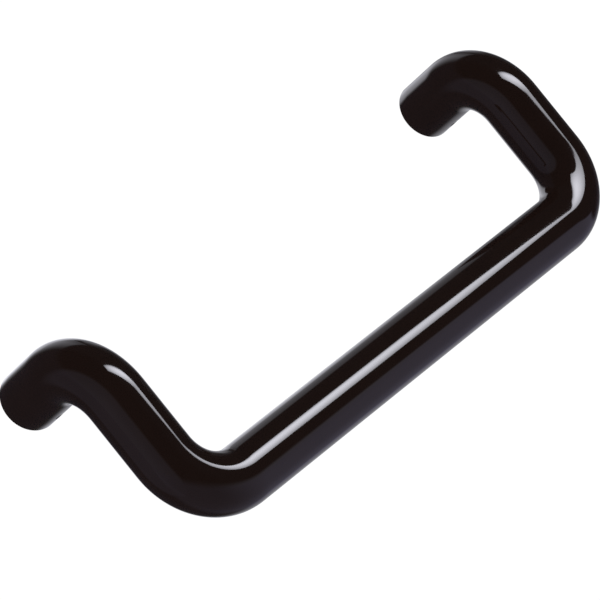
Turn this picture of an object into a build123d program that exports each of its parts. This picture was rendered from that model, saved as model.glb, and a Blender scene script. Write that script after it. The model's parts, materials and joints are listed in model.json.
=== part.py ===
# Cranked door pull handle: one round moulded bar, with a steel bush moulded into each foot
# and a grub screw in each bush that grips a stud on the door.
# Frame: door face on y = 0, user on the -Y side, grip upright along Z, crank towards -X.
# The origin lies on the door face, midway between the two feet. Millimetres.
import os

from build123d import *

# Bar
bar_diameter = 34.0
fixing_centres = 350.0  # between the axes of the two feet
crank = 100.0  # sideways, from the feet's axes to the grip's axis
stand_off = 60.0  # door face to the grip's axis
foot_bend_radius = 30.0  # on the centreline, foot to arm
grip_bend_radius = 32.5  # on the centreline, arm to grip
end_chamfer = 0.5  # broken edge round each end face

# Fixing bush, moulded into the foot and flush with its end face
bush_diameter = 24.0
bush_length = 28.0
bush_groove_width = 4.0  # ring of nylon in it keeps the bush from pulling out
bush_groove_depth = 1.5
bush_groove_inset = 4.0  # from the bush's inner end
stud_diameter = 12.0  # of the stud that the door carries
stud_clearance = 0.1  # on the radius

# Grub screw, set from the side that the arm hides
screw_diameter = 6.0
screw_length = 8.0
screw_height = 14.0  # door face to the screw's axis
screw_tip_gap = 0.4  # between the screw's tip and the bore, until it is tightened
screw_chamfer = 0.7
screw_cup_diameter = 3.0  # cup point that bites the stud
screw_cup_depth = 0.8
hex_across_flats = 3.0
hex_depth = 3.5
thread_clearance = 0.05  # on the radius, between the screw and the bush
access_clearance = 0.3  # on the radius, between the screw and the hole in the bar

bar_radius = bar_diameter / 2
bush_radius = bush_diameter / 2
bore_radius = stud_diameter / 2 + stud_clearance
screw_radius = screw_diameter / 2
access_reach = bar_radius + foot_bend_radius  # past the bar's surface on the screw's side
foot_axes = {"upper": fixing_centres / 2, "lower": -fixing_centres / 2}

out_of_door = Vector(0, -1, 0)
crank_side = Vector(-1, 0, 0)
on_base = (Align.CENTER, Align.CENTER, Align.MIN)  # stands on its plane, centred


def foot_plane(foot_z):
    """Plane on the door face at a foot's axis, whose own z runs up the foot, away from the door."""
    return Plane(origin=(0, 0, foot_z), x_dir=crank_side, z_dir=out_of_door)


def screw_plane(foot_z):
    """Plane on a foot's axis at the screw's height, whose own z runs out along the screw."""
    seat = Vector(0, 0, foot_z) + out_of_door * screw_height
    return Plane(origin=seat, x_dir=(0, 0, 1), z_dir=crank_side)


def along(plane, radius, length):
    """Cylinder that stands on a plane, about its own z axis."""
    return plane * Cylinder(radius, length, align=on_base)


def swept_bar():
    """The bar before its sockets: a round section swept up one foot, along the grip and down the other."""
    upper = Vector(0, 0, foot_axes["upper"])
    lower = Vector(0, 0, foot_axes["lower"])
    rise = out_of_door * stand_off
    side = rise + crank_side * crank
    corners = [upper, upper + rise, upper + side, lower + side, lower + rise, lower]
    bends = [foot_bend_radius, grip_bend_radius, grip_bend_radius, foot_bend_radius]
    path = FilletPolyline(*corners, radius=bends)
    bar = sweep(foot_plane(foot_axes["upper"]) * Circle(bar_radius), path=path)
    rims = bar.edges().filter_by_position(Axis.Y, 0, 0)
    return chamfer(rims, end_chamfer)


def bush_outside(foot_z):
    """A bush's turned outside, which the bar is moulded round: a sleeve with one ring groove."""
    groove_end = bush_length - bush_groove_inset
    groove_start = groove_end - bush_groove_width
    neck_radius = bush_radius - bush_groove_depth
    profile = Polyline(
        (0, 0),
        (bush_radius, 0),
        (bush_radius, groove_start),
        (neck_radius, groove_start),
        (neck_radius, groove_end),
        (bush_radius, groove_end),
        (bush_radius, bush_length),
        (0, bush_length),
        close=True,
    )
    sleeve = revolve(Plane.XZ * make_face(profile), Axis.Z)
    return foot_plane(foot_z) * sleeve


def fixing_bush(foot_z):
    """Steel bush: a plain bore for the stud and a tapped cross hole for the grub screw."""
    bore = along(foot_plane(foot_z), bore_radius, bush_length)
    tapped = along(screw_plane(foot_z), screw_radius + thread_clearance, bar_radius)
    return bush_outside(foot_z) - bore - tapped


def handle_bar():
    """The whole moulded bar, with a socket for each bush and an access hole for each grub screw."""
    bar = swept_bar()
    for foot_z in foot_axes.values():
        access = along(screw_plane(foot_z), screw_radius + access_clearance, access_reach)
        bar = bar - bush_outside(foot_z) - access
    return bar


def grub_screw(foot_z):
    """Headless screw with a hexagon socket at its outer end and a cup point at its tip."""
    plane = screw_plane(foot_z)
    tip = bore_radius + screw_tip_gap
    shank = Cylinder(screw_radius, screw_length, align=on_base)
    shank = chamfer(shank.edges().filter_by(GeomType.CIRCLE), screw_chamfer)
    hexagon = RegularPolygon(hex_across_flats / 2, 6, major_radius=False)
    socket = extrude(Pos(0, 0, screw_length - hex_depth) * hexagon, hex_depth)
    cup = Cone(screw_cup_diameter / 2, 0, screw_cup_depth, align=on_base)
    return plane * Pos(0, 0, tip) * (shank - socket - cup)


def build():
    """Every piece, by node name."""
    nodes = {"handle_bar": handle_bar()}
    for foot, foot_z in foot_axes.items():
        nodes[f"{foot}_fixing_bush"] = fixing_bush(foot_z)
    nodes["grub_screws"] = Compound(children=[grub_screw(foot_z) for foot_z in foot_axes.values()])
    return nodes


os.makedirs("parts", exist_ok=True)
for name, piece in build().items():
    export_step(piece, f"parts/{name}.step")
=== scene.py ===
import bpy
import json
import math
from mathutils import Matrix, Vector


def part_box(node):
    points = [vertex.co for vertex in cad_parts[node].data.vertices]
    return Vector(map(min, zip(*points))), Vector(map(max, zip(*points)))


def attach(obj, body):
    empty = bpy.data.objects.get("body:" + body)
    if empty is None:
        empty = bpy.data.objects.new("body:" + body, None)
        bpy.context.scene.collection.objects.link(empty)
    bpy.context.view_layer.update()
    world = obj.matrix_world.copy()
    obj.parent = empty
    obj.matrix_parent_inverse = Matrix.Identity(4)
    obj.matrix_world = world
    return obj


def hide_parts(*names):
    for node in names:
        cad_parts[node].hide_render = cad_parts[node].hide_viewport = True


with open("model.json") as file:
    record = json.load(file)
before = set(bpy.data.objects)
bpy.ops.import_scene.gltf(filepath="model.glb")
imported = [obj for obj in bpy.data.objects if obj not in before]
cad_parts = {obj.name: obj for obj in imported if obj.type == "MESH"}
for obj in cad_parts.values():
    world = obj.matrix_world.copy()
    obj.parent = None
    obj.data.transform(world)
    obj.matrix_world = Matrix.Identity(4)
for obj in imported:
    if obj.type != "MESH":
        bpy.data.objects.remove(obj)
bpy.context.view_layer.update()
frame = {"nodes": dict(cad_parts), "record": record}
print("frame loaded:", sorted(frame["nodes"]))

# sizes that the frame already holds, in metres
mounts = {mount["name"]: mount for mount in frame["record"]["mounts"]}
barLow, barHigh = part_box("handle_bar")
barRadius = round(barHigh.x, 4)
crank = round(-barLow.x - barRadius, 4)  # feet's axes to the grip's axis, sideways
standOff = round(-barLow.y - barRadius, 4)  # door face to the grip's axis
footZ = mounts["fixing_points"]["dims"]["spacing_y_mm"] / 2000
boreRadius = mounts["upper_stud_bore"]["dims"]["r_mm"] / 1000
bushLow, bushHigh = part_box("upper_fixing_bush")
bushRadius = round(bushHigh.x, 4)
bushLength = round(bushHigh.y - bushLow.y, 4)
screwLow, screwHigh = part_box("grub_screws")
screwRadius = round((screwHigh.y - screwLow.y) / 2, 4)
screwY = round((screwHigh.y + screwLow.y) / 2, 4)
screwTipX, screwEndX = round(screwHigh.x, 4), round(screwLow.x, 4)


# helpers for modelling

weld = 1e-7  # vertices nearer than this become one
sharpDeg = 35  # edges that turn by more stay sharp
alongX = (0, math.pi / 2, 0)  # turns that make a ring's axis X or Y
alongY = (math.pi / 2, 0, 0)


def selectOnly(piece):
    bpy.ops.object.select_all(action="DESELECT")
    piece.select_set(True)
    bpy.context.view_layer.objects.active = piece


def newPiece(name):
    # an empty mesh at the origin, open in edit mode
    piece = bpy.data.objects.new(name, bpy.data.meshes.new(name))
    bpy.context.scene.collection.objects.link(piece)
    selectOnly(piece)
    bpy.ops.object.mode_set(mode="EDIT")
    return piece


def smooth(piece):
    selectOnly(piece)
    bpy.ops.object.shade_smooth_by_angle(angle=math.radians(sharpDeg))


def closePiece(piece):
    # welds the mesh, turns its faces outwards and leaves edit mode
    bpy.ops.mesh.select_all(action="SELECT")
    bpy.ops.mesh.remove_doubles(threshold=weld)
    bpy.ops.mesh.normals_make_consistent(inside=False)
    bpy.ops.object.mode_set(mode="OBJECT")
    smooth(piece)
    return piece


def pull(move, steps=1):
    # extrudes what is selected, in equal steps
    for _ in range(steps):
        bpy.ops.mesh.extrude_region_move(TRANSFORM_OT_translate={"value": Vector(move) / steps})


def applyModifier(piece, kind, **settings):
    bpy.context.view_layer.objects.active = piece
    modifier = piece.modifiers.new(kind.lower(), kind)
    for key, value in settings.items():
        setattr(modifier, key, value)
    bpy.ops.object.modifier_apply(modifier=modifier.name)


def combine(piece, other, operation="DIFFERENCE", split=True):
    # boolean with another piece, which is used up; helical faces aren't flat, so they are split first
    if split:
        for each in (piece, other):
            applyModifier(each, "TRIANGULATE")
    applyModifier(piece, "BOOLEAN", operation=operation, solver="EXACT", object=other)
    bpy.data.objects.remove(other)


def ring(sides, radius, place, turned):
    bpy.ops.mesh.primitive_circle_add(vertices=sides, radius=radius, location=place, rotation=turned)


def copyOf(piece):
    # a copy with its own mesh
    selectOnly(piece)
    bpy.ops.object.duplicate()
    return bpy.context.view_layer.objects.active


def lowerCopy(piece, name):
    # the same piece at the lower foot
    copy = copyOf(piece)
    copy.name = copy.data.name = name
    bpy.ops.transform.translate(value=(0, 0, -2 * footZ))
    bpy.ops.object.transform_apply(location=True, rotation=False, scale=False)
    return copy


def selectVertices(piece, test):
    # flags set in object mode count when edit mode is entered again
    bpy.ops.mesh.select_mode(type="VERT")
    bpy.ops.mesh.select_all(action="DESELECT")
    bpy.ops.object.mode_set(mode="OBJECT")
    for vertex in piece.data.vertices:
        vertex.select = test(vertex)
    bpy.ops.object.mode_set(mode="EDIT")


# the moulded bar

barShape = {
    "sides": 192,
    "footBend": 0.030,  # centreline radius, foot to arm
    "gripBend": 0.0325,  # centreline radius, arm to grip
    "bendSteps": 36,
    "gripRings": 12,
    "guard": 0.0015,  # ring beside each bend, which keeps the straight runs' shading straight
    "rimBreak": 0.0005,  # rounding round each end face
    "rimSteps": 4,
    "holeRings": 0.005,  # from the screw's axis to a ring each side of its hole
    "holeClearance": 0.0003,
    "holeSides": 64,
    "holeFrom": 0.9,  # of the bush's radius, where the hole's cutter starts
    "holeTo": 1.3,  # of the bar's radius, where it ends
    "edgeBreak": 0.00012,  # on the mouths of the screw holes and sockets
    "edgeSteps": 2,
    "skinDepth": 0.000008,  # a vertex no deeper than this is on the skin
    "skinReach": 0.0055,  # from the screw's axis
}


def straightRun(direction, length, rings=1):
    guard = barShape["guard"]
    pull(Vector(direction) * guard)
    pull(Vector(direction) * (length - 2 * guard), rings)
    pull(Vector(direction) * guard)


def bend(centre, axis):
    # spin turns left-handed about its axis
    bpy.ops.mesh.spin(steps=barShape["bendSteps"], angle=-math.pi / 2, center=centre, axis=axis)


def turn(profile, centre, axis):
    # carries the selected ring along a turned profile: pairs of radius and distance along the axis
    centre, axis = Vector(centre), Vector(axis)
    radius, along = profile[0]
    for nextRadius, nextAlong in profile[1:]:
        pull(axis * (nextAlong - along))
        ratio = nextRadius / radius
        grow = [1 if part else ratio for part in axis]
        bpy.ops.transform.resize(value=grow, center_override=centre + axis * nextAlong)
        radius, along = nextRadius, nextAlong


def socketEnd(piece, side):
    # rounded rim, end face and the socket that the bush is moulded into
    s = barShape
    endY = -s["rimBreak"] * 1.5  # past the bar's open ends
    selectVertices(piece, lambda vertex: vertex.co.y > endY and vertex.co.z * side > 0)
    rim = []
    for step in range(s["rimSteps"] + 1):
        angle = math.pi / 2 * step / s["rimSteps"]
        inset = s["rimBreak"] * (1 - math.cos(angle))
        rim.append((barRadius - inset, s["rimBreak"] * (1 - math.sin(angle))))
    turn(rim + bushGrip(), (0, 0, side * footZ), (0, -1, 0))
    bpy.ops.mesh.edge_face_add()


def grubHole(side):
    # cutter for the hole that the key goes in by
    s = barShape
    cutter = newPiece("grubHoleCutter")
    start, end = bushRadius * s["holeFrom"], barRadius * s["holeTo"]
    bpy.ops.mesh.primitive_cylinder_add(
        vertices=s["holeSides"],
        radius=screwRadius + s["holeClearance"],
        depth=end - start,
        location=(-(start + end) / 2, screwY, side * footZ),
        rotation=alongX,
    )
    return closePiece(cutter)


def shadeSkin(bar, uncut):
    # the skin round the screw holes keeps the shading that it had before they were cut
    s = barShape
    skin = bar.vertex_groups.new(name="skin")
    for vertex in bar.data.vertices:
        x, y, z = vertex.co
        depth = barRadius - math.hypot(x, abs(z) - footZ)
        if abs(depth) < s["skinDepth"] and abs(y - screwY) < s["skinReach"]:
            skin.add([vertex.index], 1, "REPLACE")
    applyModifier(
        bar,
        "DATA_TRANSFER",
        object=uncut,
        use_loop_data=True,
        data_types_loops={"CUSTOM_NORMAL"},
        loop_mapping="POLYINTERP_NEAREST",
        vertex_group=skin.name,
    )
    bar.vertex_groups.remove(bar.vertex_groups["skin"])
    bpy.data.objects.remove(uncut)


def makeBar():
    s = barShape
    bar = newPiece("moulded_bar")
    ring(s["sides"], barRadius, (0, -s["rimBreak"], footZ), alongY)
    footRun = standOff - s["footBend"]
    armRun = crank - s["footBend"] - s["gripBend"]
    gripRun = 2 * (footZ - s["gripBend"])
    footStops = [
        s["rimBreak"],
        -screwY - s["holeRings"],
        -screwY + s["holeRings"],
        footRun - s["guard"],
        footRun,
    ]
    for start, end in zip(footStops, footStops[1:]):
        pull((0, start - end, 0))
    bend((-s["footBend"], -footRun, footZ), (0, 0, -1))
    straightRun((-1, 0, 0), armRun)
    bend((-crank + s["gripBend"], -standOff, footZ - s["gripBend"]), (0, -1, 0))
    straightRun((0, 0, -1), gripRun, s["gripRings"])
    bend((-crank + s["gripBend"], -standOff, s["gripBend"] - footZ), (0, -1, 0))
    straightRun((1, 0, 0), armRun)
    bend((-s["footBend"], -footRun, -footZ), (0, 0, 1))
    for start, end in zip(footStops[::-1], footStops[-2::-1]):
        pull((0, start - end, 0))
    for side in (1, -1):
        socketEnd(bar, side)
    closePiece(bar)
    uncut = copyOf(bar)
    for side in (1, -1):
        combine(bar, grubHole(side), split=False)
    applyModifier(
        bar,
        "BEVEL",
        width=s["edgeBreak"],
        segments=s["edgeSteps"],
        limit_method="ANGLE",
        angle_limit=math.radians(sharpDeg),
    )
    smooth(bar)
    shadeSkin(bar, uncut)
    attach(bar, "root")
    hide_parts("handle_bar")
    print("bar:", len(bar.data.polygons), "faces")
    return bar


# fixing bushes, turned from bar, which the nylon is moulded round

bushShape = {
    "sides": 160,
    "rimBreak": 0.00025,  # end face to outside, a fine line round the steel
    "boreBreak": 0.0006,  # end face to bore
    "grooveWidth": 0.004,
    "grooveDepth": 0.0015,
    "grooveInset": 0.004,  # from the inner end
    "tapFrom": 0.7,  # of the bore's radius, where the tap starts
    "tapTo": 1.2,  # of the bush's radius, where it ends
}


def bushGrip():
    # outside of a bush from the end face inwards, which is the inside of its socket too
    s = bushShape
    neck = bushRadius - s["grooveDepth"]
    grooveEnd = bushLength - s["grooveInset"]
    grooveStart = grooveEnd - s["grooveWidth"]
    return [
        (bushRadius, 0),
        (bushRadius, grooveStart),
        (neck, grooveStart),
        (neck, grooveEnd),
        (bushRadius, grooveEnd),
        (bushRadius, bushLength),
    ]


def makeBushes():
    s = bushShape
    bush = newPiece("upper_bush")
    ring(s["sides"], boreRadius, (0, -s["boreBreak"], footZ), alongY)
    face = [
        (boreRadius, s["boreBreak"]),
        (boreRadius + s["boreBreak"], 0),
        (bushRadius - s["rimBreak"], 0),
        (bushRadius, s["rimBreak"]),
    ]
    bore = [(boreRadius, bushLength), (boreRadius, s["boreBreak"])]
    turn(face + bushGrip()[1:] + bore, (0, 0, footZ), (0, -1, 0))
    closePiece(bush)
    start, end = s["tapFrom"] * boreRadius, s["tapTo"] * bushRadius
    combine(bush, threadedRod("tap", screwShape["threadClearance"], start, end))
    smooth(bush)
    for side, piece in ((1, bush), (-1, lowerCopy(bush, "lower_bush"))):
        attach(piece, "root")
        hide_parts("upper_fixing_bush" if side > 0 else "lower_fixing_bush")
        yield piece
    print("bushes:", len(bush.data.polygons), "faces each")


# grub screws

screwShape = {
    "pitch": 0.001,
    "threadDepth": 0.000613,
    "flankDeg": 30,
    "crestFlat": 0.000125,
    "stepsPerTurn": 56,
    "threadClearance": 0.00005,
    "endSlack": 0.1,  # of the pitch, past the thread's raw ends
    "endChamfer": 0.0007,
    "blankSides": 128,
    "blankProud": 0.0004,  # the blank's waist stands clear of the thread's crest
    "hexFlats": 0.003,
    "hexDepth": 0.0035,
    "hexOutside": 0.001,  # of the cutter, past the screw's end
    "drillDeg": 30,
    "cupRadius": 0.0015,
    "cupDepth": 0.0008,
    "cupSides": 64,
    "cupOutside": 0.0005,
    "pointShare": 0.02,  # of a cutter's radius, left at its point
}


def fanEnd(piece, apex, test):
    # closes the open end that passes the test with a fan of faces to one point
    bpy.ops.mesh.select_mode(type="VERT")
    bpy.ops.mesh.select_all(action="DESELECT")
    bpy.ops.mesh.select_non_manifold()
    bpy.ops.object.mode_set(mode="OBJECT")
    rim = {vertex.index for vertex in piece.data.vertices if vertex.select and test(vertex.co)}
    bpy.ops.object.mode_set(mode="EDIT")
    selectVertices(piece, lambda vertex: vertex.index in rim)
    pull((0, 0, 0))
    bpy.ops.transform.resize(value=(0, 0, 0), center_override=apex)
    bpy.ops.mesh.remove_doubles(threshold=weld)


def threadedRod(name, extra, start, end):
    # helical thread along -X at the upper screw's place, which covers start to end on that axis
    s = screwShape
    pitch, depth = s["pitch"], s["threadDepth"]
    crest = screwRadius + extra
    run = depth * math.tan(math.radians(s["flankDeg"]))
    rootFlat = pitch - s["crestFlat"] - 2 * run
    flanks = [(rootFlat / 2, 0), (run, depth), (s["crestFlat"], 0), (run, -depth), (rootFlat / 2, 0)]
    rod = newPiece(name)
    bpy.ops.mesh.primitive_plane_add(size=pitch)
    bpy.ops.mesh.merge(type="CENTER")
    bpy.ops.transform.translate(value=(0, crest - depth, 0))
    for along, out in flanks:
        pull((along, out, 0))
    bpy.ops.object.mode_set(mode="OBJECT")
    turns = math.ceil((end - start) / pitch) + 2
    steps = s["stepsPerTurn"]
    applyModifier(
        rod,
        "SCREW",
        axis="X",
        screw_offset=pitch,
        iterations=turns,
        steps=steps,
        render_steps=steps,
    )
    bpy.ops.object.mode_set(mode="EDIT")
    bpy.ops.mesh.select_all(action="SELECT")
    bpy.ops.mesh.remove_doubles(threshold=weld)
    nearEnd, farEnd = pitch * (1 + s["endSlack"]), pitch * (turns - s["endSlack"])
    fanEnd(rod, (pitch / 2, 0, 0), lambda co: co.x < nearEnd)
    fanEnd(rod, (pitch * (turns + 0.5), 0, 0), lambda co: co.x > farEnd)
    bpy.ops.mesh.select_all(action="SELECT")
    farTurn = -math.ceil(end / pitch + 1) * pitch  # whole turns, so that screw and tapped hole keep in step
    bpy.ops.transform.translate(value=(farTurn, screwY, footZ))
    return closePiece(rod)


def makeScrews():
    s = screwShape
    tip, end = -screwTipX, -screwEndX
    screw = threadedRod("upper_grub_screw", 0, tip, end)
    blank = newPiece("blank")
    endRadius, waist = screwRadius - s["endChamfer"], screwRadius + s["blankProud"]
    slope = s["endChamfer"] + s["blankProud"]
    ring(s["blankSides"], endRadius, (-tip, screwY, footZ), alongX)
    bpy.ops.mesh.edge_face_add()
    outline = [(endRadius, tip), (waist, tip + slope), (waist, end - slope), (endRadius, end)]
    turn(outline, (0, screwY, footZ), (-1, 0, 0))
    closePiece(blank)
    combine(screw, blank, "INTERSECT")
    combine(screw, hexKeyhole(end))
    combine(screw, cupPoint(tip))
    smooth(screw)
    for piece in (screw, lowerCopy(screw, "lower_grub_screw")):
        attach(piece, "root")
        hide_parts("grub_screws")
        yield piece
    print("screws:", len(screw.data.polygons), "faces each")


def hexKeyhole(end):
    # cutter for the hexagon socket, with a drilled bottom
    s = screwShape
    corner = s["hexFlats"] / 2 / math.cos(math.pi / 6)
    start = end + s["hexOutside"]
    cutter = newPiece("hexCutter")
    ring(6, corner, (-start, screwY, footZ), alongX)
    bpy.ops.mesh.edge_face_add()
    bottom = end - s["hexDepth"]
    point = bottom - corner * math.tan(math.radians(s["drillDeg"]))
    profile = [(corner, start), (corner, bottom), (corner * s["pointShare"], point)]
    turn(profile, (0, screwY, footZ), (-1, 0, 0))
    return closePiece(cutter)


def cupPoint(tip):
    # cutter for the cup that bites the stud
    s = screwShape
    start = tip - s["cupOutside"]
    flare = s["cupRadius"] * (1 + s["cupOutside"] / s["cupDepth"])
    cutter = newPiece("cupCutter")
    ring(s["cupSides"], flare, (-start, screwY, footZ), alongX)
    bpy.ops.mesh.edge_face_add()
    bottom = tip + s["cupDepth"] * (1 - s["pointShare"])
    turn([(flare, start), (flare * s["pointShare"], bottom)], (0, screwY, footZ), (-1, 0, 0))
    return closePiece(cutter)


# shader maths and nodes

class Wire:
    # one socket, so that sums on it can be written as sums
    def __init__(self, sheet, socket):
        self.sheet, self.socket = sheet, socket

    def maths(self, operation, first, second=0.0):
        return self.sheet.node("ShaderNodeMath", {"operation": operation}, {0: first, 1: second})

    def __add__(self, other):
        return self.maths("ADD", self, other)

    def __radd__(self, other):
        return self.maths("ADD", other, self)

    def __sub__(self, other):
        return self.maths("SUBTRACT", self, other)

    def __rsub__(self, other):
        return self.maths("SUBTRACT", other, self)

    def __mul__(self, other):
        return self.maths("MULTIPLY", self, other)

    def __rmul__(self, other):
        return self.maths("MULTIPLY", other, self)

    def __truediv__(self, other):
        return self.maths("DIVIDE", self, other)

    def __rtruediv__(self, other):
        return self.maths("DIVIDE", other, self)

    def __neg__(self):
        return self.maths("MULTIPLY", self, -1.0)

    def __abs__(self):
        return self.maths("ABSOLUTE", self)

    def atLeast(self, other):
        return self.maths("MAXIMUM", self, other)

    def power(self, exponent):
        return self.maths("POWER", self, exponent)

    def sine(self):
        return self.maths("SINE", self)

    def rise(self, start, end):
        # 0 before start, 1 after end, smooth between; start may be above end
        return self.sheet.node(
            "ShaderNodeMapRange",
            {"interpolation_type": "SMOOTHSTEP"},
            {"Value": self, "From Min": start, "From Max": end, "To Min": 0.0, "To Max": 1.0},
        )


class Sheet:
    # a node tree to draw on
    def __init__(self, tree):
        self.tree = tree

    def feed(self, socket, value):
        if isinstance(value, Wire):
            self.tree.links.new(value.socket, socket)
        else:
            socket.default_value = value

    def node(self, kind, settings=None, inputs=None, output=0):
        made = self.tree.nodes.new(kind)
        for key, value in (settings or {}).items():
            setattr(made, key, value)
        for key, value in (inputs or {}).items():
            self.feed(made.inputs[key], value)
        if output is None:
            return [Wire(self, socket) for socket in made.outputs]
        return Wire(self, made.outputs[output])

    def place(self):
        return self.node("ShaderNodeTexCoord", output="Object")

    def split(self, vector):
        return self.node("ShaderNodeSeparateXYZ", inputs={0: vector}, output=None)

    def noise(self, place, scale, detail, roughness):
        return self.node(
            "ShaderNodeTexNoise",
            inputs={"Vector": place, "Scale": scale, "Detail": detail, "Roughness": roughness},
        )

    def blend(self, amount, first, second):
        # two colours
        return self.node("ShaderNodeMix", {"data_type": "RGBA"}, {0: amount, 6: first, 7: second}, output=2)

    def scaled(self, colour, amount):
        return self.node("ShaderNodeVectorMath", {"operation": "SCALE"}, {0: colour, "Scale": amount})

    def bump(self, height, depth):
        # height times depth is in metres
        return self.node("ShaderNodeBump", inputs={"Strength": 1.0, "Distance": depth, "Height": height})

    def seen(self):
        # 1 for the rays that show the background, straight or in a shiny surface
        straight, shiny, through = (
            self.node("ShaderNodeLightPath", output=name)
            for name in ("Is Camera Ray", "Is Glossy Ray", "Is Transmission Ray")
        )
        return straight.atLeast(shiny).atLeast(through)

    def surface(self, shader):
        self.feed(self.tree.nodes["Material Output"].inputs["Surface"], shader)


def newFinish(name, **constants):
    material = bpy.data.materials.new(name)
    material.use_nodes = True
    sheet = Sheet(material.node_tree)
    shader = material.node_tree.nodes["Principled BSDF"]
    for key, value in constants.items():
        shader.inputs[key.replace("_", " ")].default_value = value
    return material, sheet, shader


def footRadius(sheet, place):
    # distance from the axis of the nearer foot, and height along it
    x, y, z = sheet.split(place)
    across = abs(z) - footZ
    return (x * x + across * across).power(0.5), y


# finishes, whose noises are given as scale per metre, detail and roughness

nylon = {
    "dark": (0.0086, 0.0045, 0.0036, 1),
    "light": (0.0112, 0.0061, 0.0050, 1),
    "clouds": (55, 4, 0.5),
    "polish": 0.055,  # roughness
    "haze": (38, 5, 0.6),
    "hazeRise": (0.45, 0.8),
    "hazeMost": 0.04,  # most that haze adds to the roughness
    "ior": 1.5,
    "peel": (420, 1, 0.5),
    "peelDepth": 0.0000022,
    "waves": (34, 0, 0.5),
    "waveDepth": 0.00003,
}


def nylonFinish():
    s = nylon
    material, sheet, shader = newFinish("gloss black nylon", IOR=s["ior"])
    place = sheet.place()
    clouds = sheet.noise(place, *s["clouds"])
    sheet.feed(shader.inputs["Base Color"], sheet.blend(clouds, s["dark"], s["light"]))
    haze = sheet.noise(place, *s["haze"]).rise(*s["hazeRise"])
    sheet.feed(shader.inputs["Roughness"], haze * s["hazeMost"] + s["polish"])
    # fine orange peel on the slow waves that a thick moulding cools with
    peel = sheet.noise(place, *s["peel"]) * (s["peelDepth"] / s["waveDepth"])
    waves = sheet.noise(place, *s["waves"])
    sheet.feed(shader.inputs["Normal"], sheet.bump(waves + peel, s["waveDepth"]))
    return material


steel = {
    "bright": (0.66, 0.65, 0.63, 1),
    "dull": (0.40, 0.39, 0.37, 1),
    "polish": 0.24,
    "stains": (260, 5, 0.6),
    "stainRoughness": 0.12,
    "feed": 0.00022,  # spacing of the turning marks
    "markRoughness": 0.06,
    "markDepth": 0.000012,
    "drift": (900, 2, 0.5),
    "driftShare": 0.6,
    "driftTurn": 4,  # radians that full drift moves the marks by
    "bands": (2600, 3, 0.7),  # coarser rings, where the tool was moved on
    "bandRise": (0.3, 0.7),
    "bandRoughness": 0.14,
    "bandDepth": 0.00001,
}


def turnedSteelFinish():
    s = steel
    material, sheet, shader = newFinish("turned steel", Metallic=1.0)
    place = sheet.place()
    radius, height = footRadius(sheet, place)
    path = radius + height  # along the cut, over end face and bore alike
    drift = sheet.noise(place, *s["drift"]) * s["driftShare"]
    marks = (path * (2 * math.pi / s["feed"]) + drift * s["driftTurn"]).sine() * 0.5 + 0.5
    along = sheet.node("ShaderNodeCombineXYZ", inputs={0: path})
    bands = sheet.noise(along, *s["bands"]).rise(*s["bandRise"])
    stains = sheet.noise(place, *s["stains"])
    tone = stains * 0.5 + bands * 0.5
    sheet.feed(shader.inputs["Base Color"], sheet.blend(tone, s["bright"], s["dull"]))
    rough = stains * s["stainRoughness"] + bands * s["bandRoughness"] + marks * s["markRoughness"]
    sheet.feed(shader.inputs["Roughness"], rough + s["polish"])
    relief = (marks + drift) * s["markDepth"] + bands * s["bandDepth"]
    sheet.feed(shader.inputs["Normal"], sheet.bump(relief, 1.0))
    return material


blackened = {
    "oxide": (0.075, 0.075, 0.082, 1),
    "rubbed": (0.30, 0.295, 0.285, 1),
    "polish": 0.32,
    "grain": (5200, 3, 0.6),
    "grainRoughness": 0.2,
    "grainDepth": 0.000006,
    "rubbing": (1500, 4, 0.65),
    "rubRise": (0.55, 0.78),
    "rubPolish": 0.08,  # taken off the roughness where it is rubbed
}


def blackenedFinish():
    s = blackened
    material, sheet, shader = newFinish("blackened steel", Metallic=1.0)
    place = sheet.place()
    grain = sheet.noise(place, *s["grain"])
    rubbed = sheet.noise(place, *s["rubbing"]).rise(*s["rubRise"])
    sheet.feed(shader.inputs["Base Color"], sheet.blend(rubbed, s["oxide"], s["rubbed"]))
    rough = grain * s["grainRoughness"] + s["polish"] - rubbed * s["rubPolish"]
    sheet.feed(shader.inputs["Roughness"], rough)
    sheet.feed(shader.inputs["Normal"], sheet.bump(grain, s["grainDepth"]))
    return material


# studio: a pale floor far below with a painted pool of light on it, and a softbox, a tent and a panel that
# only shiny surfaces see

def dressStage():
    lightWorld()
    hangSoftbox()
    pitchTent()
    standBackPanel()
    layFloor()
    print("stage dressed")


def glowing(name, drawColour, drawShown=None):
    # a material that only gives light, and is clear where drawShown gives 0
    material = bpy.data.materials.new(name)
    material.use_nodes = True
    sheet = Sheet(material.node_tree)
    sheet.tree.nodes.remove(sheet.tree.nodes["Principled BSDF"])
    glow = sheet.node("ShaderNodeEmission", inputs={"Color": drawColour(sheet), "Strength": 1.0})
    if drawShown:
        clear = sheet.node("ShaderNodeBsdfTransparent")
        glow = sheet.node("ShaderNodeMixShader", inputs={0: drawShown(sheet), 1: clear, 2: glow})
    sheet.surface(glow)
    return material


def onlyInReflections(piece):
    for kind in ("camera", "diffuse", "shadow", "transmission"):
        setattr(piece, "visible_" + kind, False)


softbox = {
    "place": (0.631, -1.412, -0.875),  # hot spot
    "turnDeg": (89.27, 23.51, -32.2),
    "halfSize": 1.8,
    # each side's direction in degrees, and its distance
    "trims": {0: 1.7, 90: 0.84, 135: 0.54, 180: 0.76, 225: 0.75, 270: 0.51, 303: 0.75},
    "colour": (0.97, 0.97, 1.06),
    "level": 14.5,
    "tiltDeg": 30,  # of the hot spot's long axis
    "lostAhead": 0.4,  # share lost a metre from the hot spot, each way
    "lostBehind": 1.05,
    "lostAcross": 1.4,
    "least": 0.05,  # share that is left in any case
}


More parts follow.
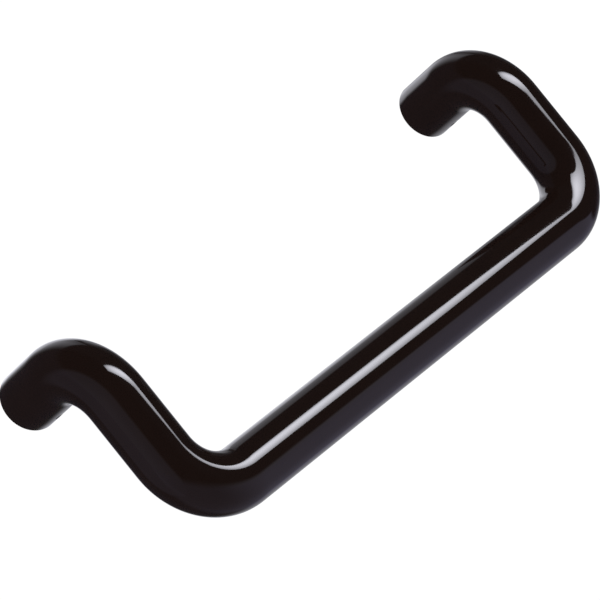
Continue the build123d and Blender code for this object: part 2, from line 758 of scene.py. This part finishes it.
def hangSoftbox():
    s = softbox
    panel = newPiece("softbox")
    bpy.ops.mesh.primitive_plane_add(size=2 * s["halfSize"])
    for direction, distance in s["trims"].items():
        outward = Vector((math.cos(math.radians(direction)), math.sin(math.radians(direction)), 0))
        bpy.ops.mesh.select_all(action="SELECT")
        bpy.ops.mesh.bisect(plane_co=outward * distance, plane_no=outward, clear_outer=True)
    bpy.ops.object.mode_set(mode="OBJECT")
    panel.location = s["place"]
    panel.rotation_euler = [math.radians(angle) for angle in s["turnDeg"]]
    onlyInReflections(panel)
    panel.data.materials.append(glowing("softbox", softboxColour))


def softboxColour(sheet):
    s = softbox
    x, y, _ = sheet.split(sheet.place())
    cosine, sine = math.cos(math.radians(s["tiltDeg"])), math.sin(math.radians(s["tiltDeg"]))
    along = x * cosine + y * sine
    across = y * cosine - x * sine
    ahead, behind = along.atLeast(0), (-along).atLeast(0)
    lost = ahead * ahead * s["lostAhead"] + behind * behind * s["lostBehind"]
    lost = lost + across * across * s["lostAcross"]
    return sheet.scaled(s["colour"], (1 - lost).atLeast(s["least"]) * s["level"])


# directions in degrees, azimuth 0 towards -Y and 90 towards +X; a pair is where a soft edge starts and ends
tent = {
    "radius": 2.95,
    "centre": (-0.08, -0.05, 0.0),
    "segments": 96,
    "rings": 48,
    "plain": (0.97, 0.97, 1.06, 1),
    "cool": (0.90, 0.88, 1.22, 1),
    "coolLeft": (-27, -46),
    "coolLeftEnd": (-146, -120),
    "coolAbove": (-10, 0),  # on the far half
    "coolCeiling": 0.7,
    "wallEdge": -36.5,
    "wallSlant": -0.1,
    "wallBlur": 9.5,
    "wallBlurRise": 0.09,
    "wallEnd": (-142, -122),
    "wallLevel": 0.15,
    "wallFade": (-85, -112),
    "wallFadeShare": 0.3,
    "lowLevel": 0.26,  # more light low on the wall
    "low": (16, -42),
    "lowFade": (-52, -92),
    "lowFadeShare": 0.35,
    "skirtSlope": 0.62,  # lower edge of the wall
    "skirtStart": -19,
    "skirtLowest": -59.5,
    "skirtEdge": (-2.5, 2.5),
    "ceiling": (39.5, 50),
    "ceilingLevel": 0.17,
    "zenith": (50, 85),
    "zenithLevel": 0.06,
    "ceilingMiddle": -5,
    "ceilingSides": (95, 130),
    "ceilingSidesShare": 0.35,
    "bandStart": (94, 101),
    "bandCut": -47.5,
    "bandCutSlope": 0.03,
    "bandCutEdge": (-0.5, 0.7),
    "bandLevel": 0.3,
    "bandUpper": (-42, -32),
    "bandUpperLevel": 0.4,
    "bandTop": (-6, -28),
    "bandNear": 0.75,  # share of the band's level near its start
    "bandFar": (100, 140),
    "bandFarMore": 0.5,
    "underTop": (-46.5, -50),
    "underBottom": (-60, -53),
    "underFar": (98, 146),
    "underLevel": 0.5,
    "backLeft": (-112, -130),
    "backRight": (134, 147),
    "backBottom": (-74, -36),
    "backTop": (-11, -29),
    "backLevel": 0.5,
    "dimLevel": 0.006,
    "dimLow": (0, -20),
    "dimLowLevel": 0.015,
    "farHalf": (90, 104),
    "dimFarLevel": 0.036,
}


def pitchTent():
    s = tent
    dome = newPiece("reflection_tent")
    bpy.ops.mesh.primitive_uv_sphere_add(
        segments=s["segments"],
        ring_count=s["rings"],
        radius=s["radius"],
        location=s["centre"],
    )
    closePiece(dome)
    onlyInReflections(dome)
    dome.data.materials.append(glowing("reflection tent", tentColour))


def tentColour(sheet):
    s = tent
    offset = sheet.node("ShaderNodeVectorMath", {"operation": "SUBTRACT"}, {0: sheet.place(), 1: s["centre"]})
    x, y, z = sheet.split(offset)
    az = x.maths("ARCTAN2", x, -y) * math.degrees(1)
    el = z.maths("ARCSINE", z / s["radius"]) * math.degrees(1)
    farHalf = abs(az).rise(*s["farHalf"])

    # pale wall on the left, brighter low down
    blur = s["wallBlur"] + el * s["wallBlurRise"]
    left = ((az - s["wallEdge"] - el * s["wallSlant"]) / blur).rise(1, -1)
    wall = el.rise(*s["low"]) * (1 - az.rise(*s["lowFade"]) * s["lowFadeShare"]) * s["lowLevel"]
    wall = wall + (1 - az.rise(*s["wallFade"]) * s["wallFadeShare"]) * s["wallLevel"]
    skirt = (az * s["skirtSlope"] + s["skirtStart"]).atLeast(s["skirtLowest"])
    wall = wall * left * (el - skirt).rise(*s["skirtEdge"]) * az.rise(*s["wallEnd"])
    # ceiling
    aloft = el.rise(*s["ceiling"])
    ceiling = aloft * (el.rise(*s["zenith"]) * s["zenithLevel"] + s["ceilingLevel"])
    sides = abs(az - s["ceilingMiddle"]).rise(*s["ceilingSides"])
    ceiling = ceiling * (1 - sides * s["ceilingSidesShare"])
    # low band on the right, cut off sharply below, with a fainter one under it
    cut = (el - az * s["bandCutSlope"] - s["bandCut"]).rise(*s["bandCutEdge"])
    upper = cut * (el.rise(*s["bandUpper"]) * s["bandUpperLevel"] + s["bandLevel"])
    upper = upper * (az.rise(*s["bandFar"]) * s["bandFarMore"] + s["bandNear"]) * el.rise(*s["bandTop"])
    under = el.rise(*s["underTop"]) * el.rise(*s["underBottom"]) * az.rise(*s["underFar"]) * s["underLevel"]
    right = az.rise(*s["bandStart"]) * (upper + under)
    # low sweep behind
    behind = az.rise(*s["backLeft"]).atLeast(az.rise(*s["backRight"]))
    back = behind * el.rise(*s["backBottom"]) * el.rise(*s["backTop"]) * s["backLevel"]
    # faint light everywhere
    dim = el.rise(*s["dimLow"]) * s["dimLowLevel"] + farHalf * s["dimFarLevel"] + s["dimLevel"]

    level = wall.atLeast(ceiling).atLeast(right).atLeast(back) + dim
    cool = az.rise(*s["coolLeft"]) * az.rise(*s["coolLeftEnd"])
    cool = cool.atLeast(aloft * s["coolCeiling"]).atLeast(el.rise(*s["coolAbove"]) * farHalf)
    return sheet.scaled(sheet.blend(cool, s["plain"], s["cool"]), level)


# low panel behind the door side, near enough to stand higher for one foot than for the other
backPanel = {
    "azimuthDeg": 150,
    "distance": 0.85,
    "middleZ": -0.55,
    "size": 1.3,
    # soft edges, each from clear to full: two across the panel, two by height
    "left": (-0.37, -0.20),
    "right": (0.40, 0.20),
    "top": (-0.13, -0.33),
    "bottom": (-1.15, -0.95),
    "colour": (0.97, 0.97, 1.06),
    "level": 1.28,
    "dimBy": 1.0,  # taken off the level towards the bottom
    "dim": (-0.65, -1.05),
}


def standBackPanel():
    s = backPanel
    panel = newPiece("back_panel")
    bpy.ops.mesh.primitive_plane_add(size=s["size"])
    bpy.ops.object.mode_set(mode="OBJECT")
    azimuth = math.radians(s["azimuthDeg"])
    panel.location = (s["distance"] * math.sin(azimuth), -s["distance"] * math.cos(azimuth), s["middleZ"])
    panel.rotation_euler = (math.pi / 2, 0, azimuth)
    onlyInReflections(panel)
    panel.data.materials.append(glowing("back panel", backPanelColour, backPanelShown))


def backPanelColour(sheet):
    s = backPanel
    _, up, _ = sheet.split(sheet.place())
    level = s["level"] - (up + s["middleZ"]).rise(*s["dim"]) * s["dimBy"]
    return sheet.scaled(s["colour"], level)


def backPanelShown(sheet):
    s = backPanel
    across, up, _ = sheet.split(sheet.place())
    height = up + s["middleZ"]
    sides = across.rise(*s["left"]) * across.rise(*s["right"])
    return sides * height.rise(*s["top"]) * height.rise(*s["bottom"])


studio = {
    "daylight": (1, 1, 1, 1),  # of the world, where no background is seen
    "floorZ": -3.2,
    "floorSize": 60,
    "paper": (0.9, 0.9, 0.9, 1),
    "paperRoughness": 0.9,
    "paperGlow": 0.96,
    "white": (1.04, 1.04, 1.04, 1),
    "pale": (0.80, 0.80, 0.81, 1),
    "sweep": (0.08, 3.7),  # middle of the painted pool of light, the white part of the floor
    "sweepEdge": (1.5, 3.1),
}


def lightWorld():
    world = bpy.data.worlds.new("studio")
    bpy.context.scene.world = world
    world.use_nodes = True
    sheet = Sheet(world.node_tree)
    colour = sheet.blend(sheet.seen(), studio["daylight"], studio["pale"])
    sheet.feed(world.node_tree.nodes["Background"].inputs["Color"], colour)


def layFloor():
    s = studio
    floor = newPiece("floor")
    bpy.ops.mesh.primitive_plane_add(size=s["floorSize"], location=(0, 0, s["floorZ"]))
    bpy.ops.object.mode_set(mode="OBJECT")
    paper, sheet, shader = newFinish("floor paper", Base_Color=s["paper"], Roughness=s["paperRoughness"])
    x, y, _ = sheet.split(sheet.place())
    sweepX, sweepY = s["sweep"]
    away = ((x - sweepX) * (x - sweepX) + (y - sweepY) * (y - sweepY)).power(0.5)
    # painted pool of light: the floor's glow is white round the pool's middle and pale further out
    colour = sheet.blend(away.rise(*s["sweepEdge"]), s["white"], s["pale"])
    glow = sheet.node("ShaderNodeEmission", inputs={"Color": colour, "Strength": 1.0})
    lit = Wire(sheet, shader.outputs[0])
    shown = sheet.seen() * s["paperGlow"]
    sheet.surface(sheet.node("ShaderNodeMixShader", inputs={0: shown, 1: lit, 2: glow}))
    floor.data.materials.append(paper)


# camera

camera = {
    "place": (-0.11403, -1.63933, 1.37610),
    "turnDeg": (-35.5585, 37.4466, -142.0776),
    "lens": 234.33,
    "sensor": 36,
}


def placeCamera():
    data = bpy.data.cameras.new("camera")
    data.lens = camera["lens"]
    data.sensor_width = camera["sensor"]
    eye = bpy.data.objects.new("camera", data)
    eye.location = camera["place"]
    eye.rotation_euler = [math.radians(angle) for angle in camera["turnDeg"]]
    bpy.context.scene.collection.objects.link(eye)
    bpy.context.scene.camera = eye


placeCamera()
bar = makeBar()
bar.data.materials.append(nylonFinish())
turnedSteel = turnedSteelFinish()
for bush in makeBushes():
    bush.data.materials.append(turnedSteel)
blackenedSteel = blackenedFinish()
for screw in makeScrews():
    screw.data.materials.append(blackenedSteel)
dressStage()
bpy.context.scene.view_settings.view_transform = "Standard"
